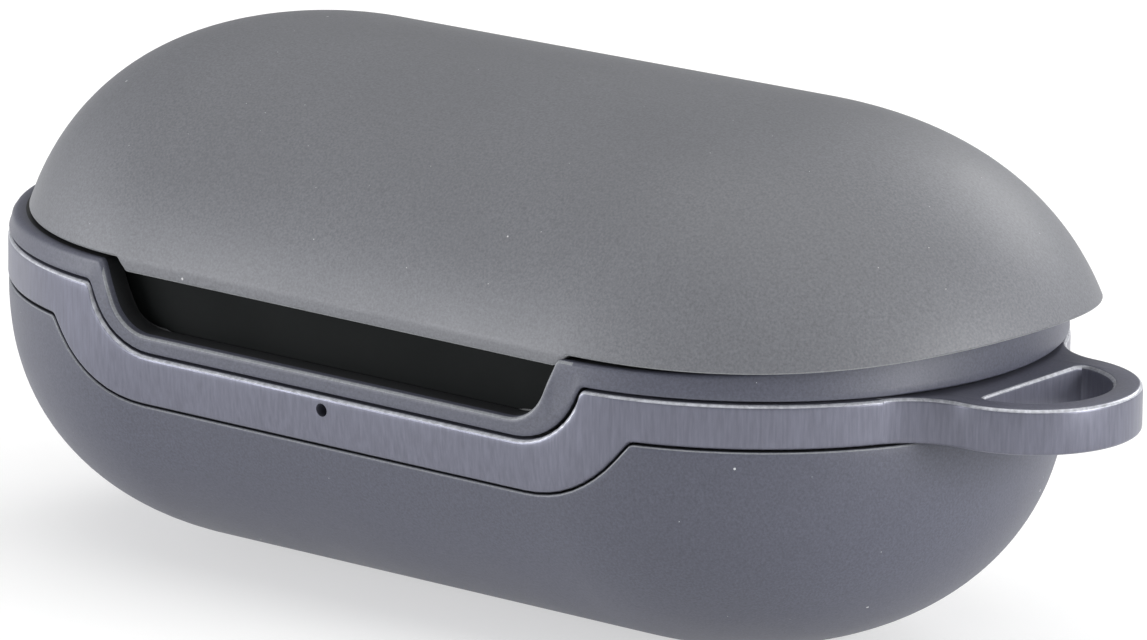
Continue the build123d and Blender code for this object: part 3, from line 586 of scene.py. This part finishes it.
# ---------------------------------------------------------------- the cover's sleeve
def sleeve_section(station):
    """The sleeve's section at a station, as points from its foot up and then down its inside."""
    low_seam, low_stretch = seam(BAND_LOW_LINE, station)
    top_seam, top_stretch = seam(BAND_TOP_LINE, station)
    rim_top, rim_stretch = seam(NOTCH_LINE, station)
    rim_top += parting_rise(station)
    shoulder = 11.0
    top = low_seam - EDGE * low_stretch
    heights = [shoulder * (1 - math.cos(math.pi / 2 * (i / 26) ** 0.8)) for i in range(27)]
    heights += [shoulder + (top - shoulder) * i / 10 for i in range(1, 11)]
    section = [(bowl_inset(z), z) for z in heights]
    inset = section[-1][0]
    section += corner((inset + EDGE, top), (inset, top), (inset + EDGE, low_seam))[1:]
    section.append((CHANNEL + bowl_inset(low_seam) - BOWL_STEP, low_seam))
    wall = CHANNEL + bowl_inset(top_seam) - BOWL_STEP
    section.append((wall, top_seam))
    inner = BODY_RADIUS - CASE_RADIUS - 0.05
    if in_cut(station, SLEEVE_CUT):
        section += [(wall + (inner - wall) * i / 20, BAND_TOP) for i in range(1, 21)]
    else:
        lean = bowl_inset(top_seam) - BOWL_STEP + RIM_STEP
        low = top_seam + EDGE * top_stretch
        section += corner((lean + EDGE, low), (lean + EDGE, top_seam), (lean, low))
        part, value = station
        edge = RIM_EDGE + (RIM_SHOULDER * math.sin(value) ** 2 if part == "left" else 0.0)
        high = rim_top - min(edge * rim_stretch, 0.8 * (rim_top - low))
        upper = max(RIM_STEP + RIM_LEAN * (rim_top - BAND_TOP) / (RIM_TOP - BAND_TOP), lean)
        for i in range(1, 6):
            section.append((lean + (upper - lean) * i / 6, low + (high - low) * i / 6))
        section += corner((upper + edge, high), (upper, high), (upper + edge, rim_top))
        start = upper + edge
        section += [(start + (inner - start) * i / 5, rim_top) for i in range(1, 6)]
    points = [(*on_pill(station, inset), z) for inset, z in section]
    points.append((*on_pill(station, 0, CASE_RADIUS, CASE_HALF), min(points[-1][2] - 0.05, 16.4)))
    for i in range(1, 25):
        turn = math.pi / 2 * i / 25
        drop = (WAIST - SLEEVE_FLOOR) * math.sin(turn) ** (2 / BOWL_POWER)
        radius = CASE_RADIUS * math.cos(turn) ** (2 / BOWL_POWER)
        points.append((*on_pill(station, 0, radius, CASE_HALF), WAIST - drop))
    return points


def sleeve():
    """The soft sleeve, with its plug opening and the hole behind the light."""
    ring = stations()

    def coat(column, row):
        x, y = on_pill(ring[column])
        by_notch = y < 0 and abs(x) < NOTCH_WORN_AND_HIGHLIGHT_HALF
        # edge rows get the lighter paint: partly wear, partly a painted highlight
        if row in BOWL_EDGE_ROWS or (row in NOTCH_EDGE_ROWS and by_notch):
            return 1
        # the sleeve's inside and the channel walls get painted shade
        return 2 if row > SLEEVE_LAST_OUTER_ROW or row in CHANNEL_ROWS else 0

    columns = [sleeve_section(station) for station in ring]
    shape = skin("sleeve", columns, (SLEEVE, SLEEVE_WORN_AND_HIGHLIGHT, SLEEVE_PAINTED_SHADE), coat)
    plug = bar("plug_cutter", round_outline(0, PORT_Z, PLUG_WIDTH, PLUG_HEIGHT), 15.0, 22.0)
    pipe = round_outline(LIGHT_X, LIGHT_Z, 4 * LIGHT_RADIUS, 4 * LIGHT_RADIUS)
    light = bar("light_cutter", pipe, -20.5, -15.0)
    return smoothed(cut(shape, plug, light))


# ---------------------------------------------------------------- the cover's band
def band_section(station):
    """The band's closed section at a station."""
    low, low_stretch = seam(BAND_LOW_LINE, station)
    high, high_stretch = seam(BAND_TOP_LINE, station)
    low += GAP_BOTTOM * low_stretch
    high -= GAP_TOP * high_stretch
    bottom, top = low + BAND_EDGE * low_stretch, high - BAND_EDGE * high_stretch
    section = [(bowl_inset(low) - BOWL_STEP + BAND_THICK, low)]
    inset = bowl_inset(bottom) - BOWL_STEP
    section += corner((inset + BAND_EDGE, bottom), (inset + BAND_EDGE, low), (inset, bottom))
    for i in range(1, 10):
        z = bottom + (top - bottom) * i / 10
        section.append((bowl_inset(z) - BOWL_STEP, z))
    inset = bowl_inset(top) - BOWL_STEP
    section += corner((inset + BAND_EDGE, top), (inset, top), (inset + BAND_EDGE, high))
    section.append((bowl_inset(high) - BOWL_STEP + BAND_THICK, high))
    return [(*on_pill(station, inset), z) for inset, z in section]


def band():
    """The hard band round the sleeve, with its light hole."""
    columns = [band_section(station) for station in stations()]
    # the band's upper edge rows get the lighter paint: partly wear, partly a painted highlight
    shape = skin("band", columns, (BAND, BAND_WORN_AND_HIGHLIGHT),
                 lambda column, row: int(row in BAND_TOP_EDGE_ROWS), closed=True)
    hole = round_outline(LIGHT_X, LIGHT_Z, 2 * LIGHT_RADIUS, 2 * LIGHT_RADIUS)
    light = bar("light_cutter", hole, -21.0, -16.0)
    return smoothed(cut(shape, light))


def turn_points(centre, radius, start, end, steps):
    """Points of an arc, angles in radians."""
    return [
        (centre[0] + radius * math.cos(start + (end - start) * i / steps),
         centre[1] + radius * math.sin(start + (end - start) * i / steps))
        for i in range(steps + 1)
    ]


def carry_loop():
    """The loop: a flat plate with a D-shaped hole, its root faired into the band."""
    gap = LOOP_X - BODY_HALF
    far, near = BODY_RADIUS + LOOP_FILLET, LOOP_RADIUS + LOOP_FILLET
    x = (far ** 2 - near ** 2 + gap ** 2) / (2 * gap)
    fillet = (BODY_HALF + x, math.sqrt(far ** 2 - x ** 2))
    at_body = math.atan2(fillet[1], x)
    at_loop = math.atan2(fillet[1], fillet[0] - LOOP_X)
    half = turn_points((BODY_HALF, 0), BODY_RADIUS - 0.7, 0, at_body + 0.03, 14)[1:]
    half += turn_points(fillet, LOOP_FILLET, at_body - math.pi, at_loop - math.pi, 24)
    half += turn_points((LOOP_X, 0), LOOP_RADIUS, at_loop, 0, 44)[1:]
    outline = half + [(x, -y) for x, y in reversed(half[:-1])]
    flat = LOOP_FLAT - LOOP_X
    reach = math.sqrt(LOOP_HOLE ** 2 - flat ** 2)
    soften = 0.5
    hole = turn_points((LOOP_X, 0), LOOP_HOLE, -math.acos(flat / LOOP_HOLE) + 0.1,
                       math.acos(flat / LOOP_HOLE) - 0.1, 56)
    hole += [(LOOP_FLAT + 0.12, reach - 0.12), (LOOP_FLAT, reach - soften)]
    hole += [(LOOP_FLAT, soften - reach), (LOOP_FLAT + 0.12, 0.12 - reach)]
    curve = bpy.data.curves.new("carry_loop", "CURVE")
    curve.dimensions = "2D"
    curve.fill_mode = "BOTH"
    for points in (outline, hole):
        spline = curve.splines.new("POLY")
        spline.points.add(len(points) - 1)
        for point, (px, py) in zip(spline.points, points):
            point.co = (px, py, 0, 1)
        spline.use_cyclic_u = True
    curve.extrude = (LOOP_HIGH - LOOP_LOW) / 2 - BAND_EDGE
    curve.bevel_depth = BAND_EDGE
    curve.bevel_resolution = 3
    curve.offset = -BAND_EDGE
    source = bpy.data.objects.new("loop_curve", curve)
    bpy.context.collection.objects.link(source)
    graph = bpy.context.evaluated_depsgraph_get()
    mesh = bpy.data.meshes.new_from_object(source.evaluated_get(graph))
    bpy.data.objects.remove(source)
    bm = bmesh.new()
    bm.from_mesh(mesh)
    bmesh.ops.remove_doubles(bm, verts=bm.verts, dist=1e-3)
    bmesh.ops.recalc_face_normals(bm, faces=bm.faces)
    bmesh.ops.translate(bm, vec=(0, 0, (LOOP_HIGH + LOOP_LOW) / 2), verts=bm.verts)
    for face in bm.faces:
        # upward-slanted edge rounds get the lighter paint: a painted highlight, partly wear too
        face.material_index = 1 if 0.3 < face.normal.z < 0.85 else 0
    loop = new_object("carry_loop", bm)
    for paint in (BAND, BAND_WORN_AND_HIGHLIGHT):
        loop.data.materials.append(paint)
    return smoothed(loop)


# ---------------------------------------------------------------- the lid's cover
def dome_point(station, turn, radius, height, nose, slope):
    """A point of the dome at a station, turn being the angle on its superellipse."""
    tall = height + LID_CUT
    wide = radius / (1 - (LID_CUT / tall) ** LID_POWER) ** (1 / LID_POWER)
    across = wide * math.cos(turn) ** (2 / LID_POWER)
    rise = tall * math.sin(turn) ** (2 / LID_POWER) - LID_CUT
    x, y = on_pill(station, 0, across, BODY_HALF, nose, LID_HEEL)
    return (x * math.cos(slope) - rise * math.sin(slope), y,
            LID_Z + rise * math.cos(slope) + x * math.sin(slope))


def turn_at(station, z, *dome):
    """The angle at which the dome has a height, found by halving."""
    low, high = 0.0, math.pi / 2
    for _ in range(30):
        middle = (low + high) / 2
        if dome_point(station, middle, *dome)[2] < z:
            low = middle
        else:
            high = middle
    return low


def moved_in(point, station, inset):
    """A point moved straight inwards from the outline."""
    x0, y0 = on_pill(station)
    x1, y1 = on_pill(station, 1.0)
    return point[0] + (x1 - x0) * inset, point[1] + (y1 - y0) * inset


def lid_section(station):
    """The lid cover's section at a station, from its outer edge over the top to the inside."""
    edge_z, stretch = seam(TAB_LINE, station)
    edge_z += parting_rise(station)
    if in_cut(station, HINGE_CUT):
        edge_z = LID_Z + HINGE_CUT_RISE
    outer = (LID_RADIUS, LID_HEIGHT, LID_NOSE, LID_SLOPE)
    inner = (LID_RADIUS - LID_WALL, LID_HEIGHT - LID_WALL, LID_NOSE_INSIDE, 0.0)
    straight = max(LID_Z, edge_z)
    start_z = edge_z + LID_EDGE * stretch
    knee = max(start_z, straight) + 0.25
    base = dome_point(station, turn_at(station, max(start_z, straight), *outer), *outer)
    points = []
    for i in range(5):
        turn = i / 4 * math.pi / 2
        inset = LID_EDGE * (1 - math.sin(turn))
        points.append((*moved_in(base, station, inset),
                       start_z - LID_EDGE * stretch * math.cos(turn)))
    for i in range(1, 4):
        z = start_z + (knee - start_z) * i / 4
        turn = turn_at(station, max(z, straight), *outer)
        points.append((*dome_point(station, turn, *outer)[:2], z))
    start = turn_at(station, knee, *outer)
    end = math.pi / 2 - 0.004
    for i in range(37):
        points.append(dome_point(station, start + (end - start) * i / 36, *outer))
    inside = []
    inner_z = max(straight, LID_Z) + 0.05
    start = turn_at(station, inner_z, *inner)
    for i in range(21):
        inside.append(dome_point(station, start + (end - start) * i / 20, *inner))
    inside.reverse()
    x, y, _ = inside[-1]
    inside.append((x, y, edge_z))
    return inside + points


def lid():
    """The domed cover of the lid, with its tab over the finger notch."""
    columns = [lid_section(station) for station in stations()]
    # the lid's lower edge rows get the lighter paint: partly wear, partly a painted highlight
    return smoothed(skin("lid_dome", columns, (LID, LID_WORN_AND_HIGHLIGHT),
                         lambda column, row: int(row in LID_LOW_EDGE_ROWS)))


# ---------------------------------------------------------------- small repeated details
class Nodes:
    """A Geometry Nodes tree with named inputs, ending in realized and painted geometry."""

    def __init__(self, name):
        self.tree = bpy.data.node_groups.new(name, "GeometryNodeTree")
        self.tree.interface.new_socket("Geometry", in_out="OUTPUT",
                                       socket_type="NodeSocketGeometry")
        self.entry = self.tree.nodes.new("NodeGroupInput")
        self.keys = {}

    def size(self, name, whole=False):
        """A named input for a size or, if whole, for a count."""
        kind = "NodeSocketInt" if whole else "NodeSocketFloat"
        socket = self.tree.interface.new_socket(name, in_out="INPUT", socket_type=kind)
        self.keys[name] = socket.identifier
        return self.entry.outputs[name]

    def add(self, kind, **links):
        """A node; links feed its sockets by name, with a value or another node's output."""
        node = self.tree.nodes.new(kind)
        for key, source in links.items():
            socket = node.inputs[key.replace("_", " ")]
            if isinstance(source, (int, float, tuple, bpy.types.Material)):
                socket.default_value = source
            else:
                self.tree.links.new(source, socket)
        return node.outputs

    def math(self, operation, first, second=0.0):
        node = self.tree.nodes.new("ShaderNodeMath")
        node.operation = operation
        for socket, value in zip(node.inputs, (first, second)):
            if isinstance(value, (int, float)):
                socket.default_value = value
            else:
                self.tree.links.new(value, socket)
        return node.outputs["Value"]

    def made(self, name, geometry, paint, **sizes):
        """The tree's result as a plain mesh, for the given sizes."""
        real = self.add("GeometryNodeRealizeInstances", Geometry=geometry)["Geometry"]
        painted = self.add("GeometryNodeSetMaterial", Geometry=real, Material=paint)["Geometry"]
        leave = self.tree.nodes.new("NodeGroupOutput")
        self.tree.links.new(painted, leave.inputs["Geometry"])
        obj = bpy.data.objects.new(name, bpy.data.meshes.new(name))
        bpy.context.collection.objects.link(obj)
        modifier = obj.modifiers.new(name, "NODES")
        modifier.node_group = self.tree
        for key, value in sizes.items():
            modifier[self.keys[key]] = value
        return smoothed(baked(obj))


def placed(obj, turn, place):
    """Turns and moves a piece's mesh, in mm, and leaves its object at the origin."""
    obj.data.transform(Matrix.Translation(Vector(place) * MM) @ turn)
    obj.data.update()
    return obj


def charging_coil():
    """The flat coil: a wire wound as a spiral, in two layers."""
    n = Nodes("coil_winding")
    inner, outer, turns, wire = (n.size(key) for key in ("inner", "outer", "turns", "wire"))
    spiral = n.add("GeometryNodeCurveSpiral", Resolution=36, Rotations=turns, Start_Radius=inner,
                   End_Radius=outer, Height=0.0)["Curve"]
    circle = n.add("GeometryNodeCurvePrimitiveCircle", Resolution=8, Radius=wire)["Curve"]
    tube = n.add("GeometryNodeCurveToMesh", Curve=spiral, Profile_Curve=circle,
                 Fill_Caps=True)["Mesh"]
    layers = n.add("GeometryNodeMeshLine", Count=2, Offset=(0, 0, 0.00025))["Mesh"]
    stack = n.add("GeometryNodeInstanceOnPoints", Points=layers, Instance=tube)["Instances"]
    obj = n.made("coil_winding", stack, COPPER,
                 inner=0.0037, outer=0.0078, turns=14.0, wire=0.00012)
    low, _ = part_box("charging_coil")
    return placed(obj, Matrix.Identity(4), (0, 0, low.z / MM + 0.125))


def nozzle_screen(side):
    """The woven screen in an earbud's nozzle: two crossed rows of wires, cut to a disc."""
    n = Nodes("nozzle_screen")
    radius, wire, count = n.size("radius"), n.size("wire"), n.size("count", whole=True)
    step = n.math("DIVIDE", n.math("MULTIPLY", radius, 2.0), n.math("ADD", count, 1.0))
    start = n.math("SUBTRACT", step, radius)
    first = n.add("ShaderNodeCombineXYZ", X=start)["Vector"]
    offset = n.add("ShaderNodeCombineXYZ", X=step)["Vector"]
    line = n.add("GeometryNodeMeshLine", Count=count, Start_Location=first, Offset=offset)["Mesh"]
    place = n.add("GeometryNodeInputPosition")["Position"]
    across = n.add("ShaderNodeSeparateXYZ", Vector=place)["X"]
    square = n.math("SUBTRACT", n.math("MULTIPLY", radius, radius),
                    n.math("MULTIPLY", across, across))
    chord = n.math("MULTIPLY", n.math("SQRT", square), 2.0)
    scale = n.add("ShaderNodeCombineXYZ", X=1.0, Y=1.0, Z=chord)["Vector"]
    rod = n.add("GeometryNodeMeshCylinder", Vertices=6, Radius=wire, Depth=1.0)["Mesh"]
    row = n.add("GeometryNodeInstanceOnPoints", Points=line, Instance=rod,
                Rotation=(math.pi / 2, 0, 0), Scale=scale)["Instances"]
    crossed = n.add("GeometryNodeTransform", Geometry=row, Rotation=(0, 0, math.pi / 2),
                    Translation=(0, 0, 0.00009))["Geometry"]
    both = n.tree.nodes.new("GeometryNodeJoinGeometry")
    for source in (row, crossed):
        n.tree.links.new(source, both.inputs["Geometry"])
    obj = n.made(f"{side}_nozzle_screen", both.outputs["Geometry"], STEEL,
                 radius=0.00186, wire=0.00005, count=13)
    low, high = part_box(f"{side}_nozzle_mesh")
    lean = math.radians(NOZZLE_LEAN if side == "right" else -NOZZLE_LEAN)
    return placed(obj, Matrix.Rotation(math.pi - lean, 4, "Y"), (low + high) / 2 / MM)


def socket_pads():
    """The gold contacts on both faces of the socket's tongue."""
    n = Nodes("socket_pads")
    pitch, count = n.size("pitch"), n.size("count", whole=True)
    offset = n.add("ShaderNodeCombineXYZ", X=pitch)["Vector"]
    half = n.math("MULTIPLY", n.math("SUBTRACT", count, 1.0), n.math("MULTIPLY", pitch, -0.5))
    first = n.add("ShaderNodeCombineXYZ", X=half)["Vector"]
    line = n.add("GeometryNodeMeshLine", Count=count, Start_Location=first, Offset=offset)["Mesh"]
    pad = n.add("GeometryNodeMeshCube", Size=(0.00025, 0.0034, 0.00006))["Mesh"]
    row = n.add("GeometryNodeInstanceOnPoints", Points=line, Instance=pad)["Instances"]
    under = n.add("GeometryNodeTransform", Geometry=row, Translation=(0, 0, -0.0007))["Geometry"]
    both = n.tree.nodes.new("GeometryNodeJoinGeometry")
    for source in (row, under):
        n.tree.links.new(source, both.inputs["Geometry"])
    obj = n.made("socket_pads", both.outputs["Geometry"], GOLD, pitch=0.0005, count=12)
    _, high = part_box("socket_tongue")
    return placed(obj, Matrix.Identity(4), (0, high.y / MM - 1.9, high.z / MM))


# ---------------------------------------------------------------- everything put together
look_from(azimuth=38.61, elevation=14.76, roll=0.67, distance=704.5,
          shift_right=2.60, shift_up=0.06, lens=358.8, lift=WAIST)
studio()

SLEEVE = soft_touch("sleeve_paint", (0.08, 0.084, 0.115), 0.46, dust=0.5)
# lighter paint for the sleeve's edges: partly wear, partly a painted highlight
SLEEVE_WORN_AND_HIGHLIGHT = soft_touch("sleeve_paint_worn_and_highlight", (0.24, 0.25, 0.27), 0.4)
# darker paint for the sleeve's inside and channel walls: painted shade
SLEEVE_PAINTED_SHADE = soft_touch("sleeve_painted_shade", (0.014, 0.015, 0.017), 0.6)
LID = soft_touch("lid_paint", (0.15, 0.154, 0.17), 0.5, dust=1.0)
# lighter paint for the lid's lower edge: partly wear, partly a painted highlight
LID_WORN_AND_HIGHLIGHT = soft_touch("lid_paint_worn_and_highlight", (0.26, 0.27, 0.28), 0.4)
BAND = finish("band_satin", (0.13, 0.133, 0.172), 0.36, 0.35, scale=5200, stretch=(1, 1, 0.1),
              depth=0.55, tone=0.14)
# lighter paint for the band's and loop's edges: partly wear, partly a painted highlight
BAND_WORN_AND_HIGHLIGHT = finish("band_satin_worn_and_highlight", (0.42, 0.43, 0.47), 0.3, 0.3, scale=2600, tone=0.3)

for build, body, node in (
    (sleeve, "base", "base_sleeve"), (band, "base", "carry_band"),
    (carry_loop, "base", "carry_band"), (lid, "lid", "lid_cover"),
):
    piece = build()
    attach(piece, body)
    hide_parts(node)

CASE_PLASTIC = finish("case_plastic", (0.004, 0.005, 0.005), 0.6, scale=4200, depth=0.3,
                      Specular_IOR_Level=0.08)
CRADLE_PLASTIC = finish("cradle_plastic", (0.016, 0.016, 0.018), 0.32, scale=3200)
STEEL = finish("brushed_steel", (0.55, 0.55, 0.56), 0.28, 1.0, scale=2600, stretch=(0.08, 1, 1))
NICKEL = finish("nickel_plate", (0.48, 0.47, 0.44), 0.25, 1.0)
RUBBER = finish("bumper_rubber", (0.02, 0.02, 0.021), 0.75, scale=2400, depth=0.5)
BOARD = solder_mask("solder_mask")
CHIP = finish("moulded_chip", (0.018, 0.018, 0.02), 0.6, scale=5200, depth=0.5)
SMOKED = finish("smoked_lens", (0.05, 0.05, 0.055), 0.12, depth=0.03)
FOIL = finish("cell_foil", (0.52, 0.54, 0.57), 0.34, 1.0, scale=700, depth=0.4)
COPPER = finish("lacquered_copper", (0.72, 0.33, 0.16), 0.3, 1.0)
GOLD = finish("gold_plate", (0.86, 0.62, 0.24), 0.22, 1.0, depth=0.1)
BUD = finish("bud_plastic", (0.022, 0.023, 0.026), 0.3, scale=2800, depth=0.12,
             Coat_Weight=0.2, Coat_Roughness=0.2)
TOUCH = finish("touch_plate", (0.03, 0.031, 0.035), 0.16, scale=1500, depth=0.05,
               Coat_Weight=0.6, Coat_Roughness=0.08)
SILICONE = finish("tip_silicone", (0.05, 0.051, 0.055), 0.6, scale=1800, depth=0.2)

for piece, body, nodes in (
    (charging_coil(), "base", ("charging_coil",)),
    (nozzle_screen("right"), "right_earbud", ("right_nozzle_mesh",)),
    (nozzle_screen("left"), "left_earbud", ("left_nozzle_mesh",)),
    (socket_pads(), "base", ()),
):
    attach(piece, body)
    if nodes:
        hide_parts(*nodes)

finishes = {
    CASE_PLASTIC: ("case_shell", "lid_shell"),
    CRADLE_PLASTIC: ("cradle", "lid_liner"),
    STEEL: ("hinge_pin", "tray_screws", "charging_socket"),
    NICKEL: ("catch_magnets", "lid_magnets", "coil_shield"),
    RUBBER: ("lid_bumpers",),
    BOARD: ("circuit_board",),
    CHIP: ("board_chips", "socket_tongue", "pin_blocks"),
    SMOKED: ("status_light", "light_pipe"),
    FOIL: ("battery",),
    GOLD: ("right_charging_pins", "left_charging_pins", "right_bud_contacts", "left_bud_contacts"),
    BUD: ("right_bud_shell", "left_bud_shell"),
    TOUCH: ("right_touch_cap", "left_touch_cap"),
    SILICONE: ("right_ear_tip", "left_ear_tip"),
}
for paint, nodes in finishes.items():
    for node in nodes:
        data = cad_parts[node].data
        data.materials.clear()
        data.materials.append(paint)
